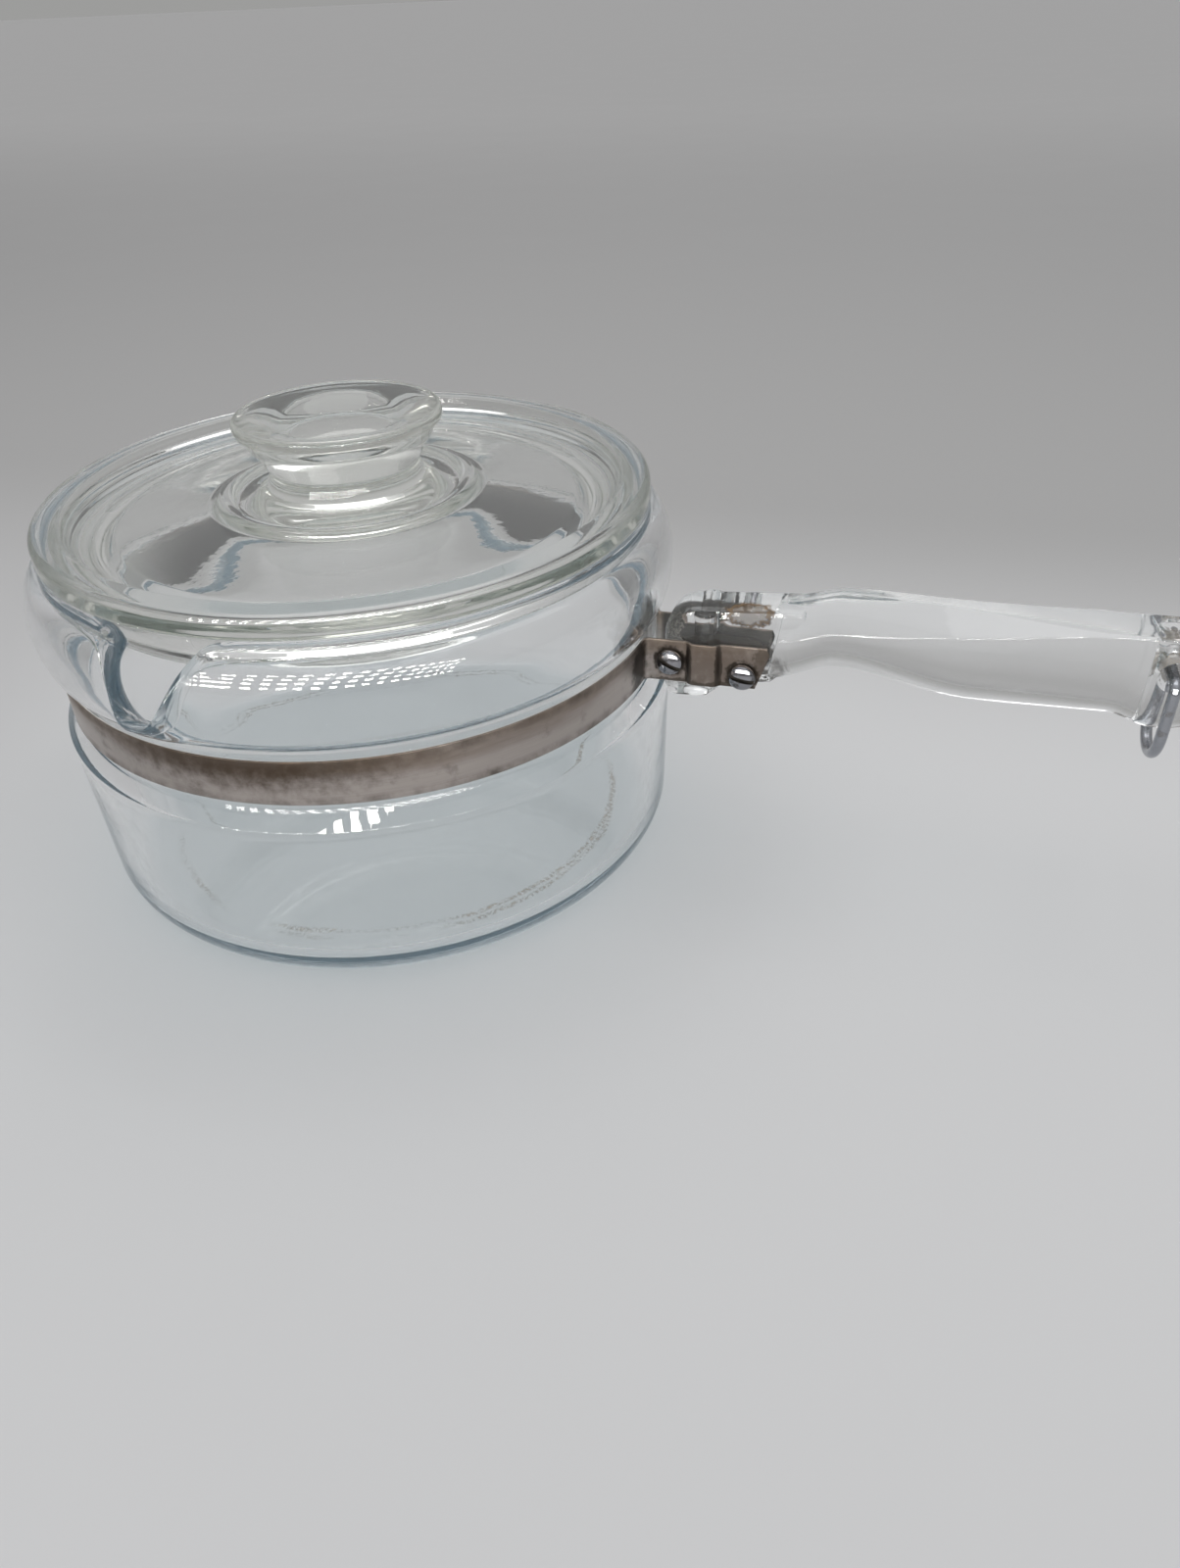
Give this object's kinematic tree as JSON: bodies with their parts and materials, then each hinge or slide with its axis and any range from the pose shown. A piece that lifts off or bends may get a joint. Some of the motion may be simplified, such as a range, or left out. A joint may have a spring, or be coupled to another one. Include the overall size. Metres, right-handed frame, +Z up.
{
  "type": "glass saucepan",
  "caption": "Clear glass saucepan with a pouring spout, a knobbed glass lid and a glass handle clamped on by a steel waist band, with a wire hanging ring.",
  "frame": {"origin": "centre of the flat base, on the pan's axis, on the surface it stands on", "axes": "+Z up along the pan's axis, +X from the axis along the handle"},
  "size_m": [0.3066, 0.1775, 0.1214],
  "materials": {
    "bowl_glass": "clear blown glass, faintly blue",
    "lid_glass": "clear pressed glass, faintly green in its thick edges",
    "handle_glass": "clear pressed glass",
    "band_steel": "satin stainless steel with brown heat stain",
    "screw_steel": "bright plated, slightly worn",
    "ring_steel": "dull plated wire"
  },
  "bodies": {
    "pan": {"bowl": "bowl_glass", "clamp_band": "band_steel", "handle": "handle_glass", "front_clamp_screw": "screw_steel", "rear_clamp_screw": "screw_steel", "front_clamp_nut": "screw_steel", "rear_clamp_nut": "screw_steel"},
    "lid": {"lid": "lid_glass"},
    "hanging_ring": {"hanging_ring": "ring_steel"}
  },
  "joints": [
    {"name": "lid_lift", "type": "slide", "parent": "pan", "child": "lid", "axis": [0, 0, 1], "range_m": [0, 0.15]},
    {"name": "ring_swing", "type": "hinge", "parent": "pan", "child": "hanging_ring", "pos_m": [0.20913, 0, 0.0692], "axis": [0, -1, 0], "range_deg": [-46, 222]}
  ]
}
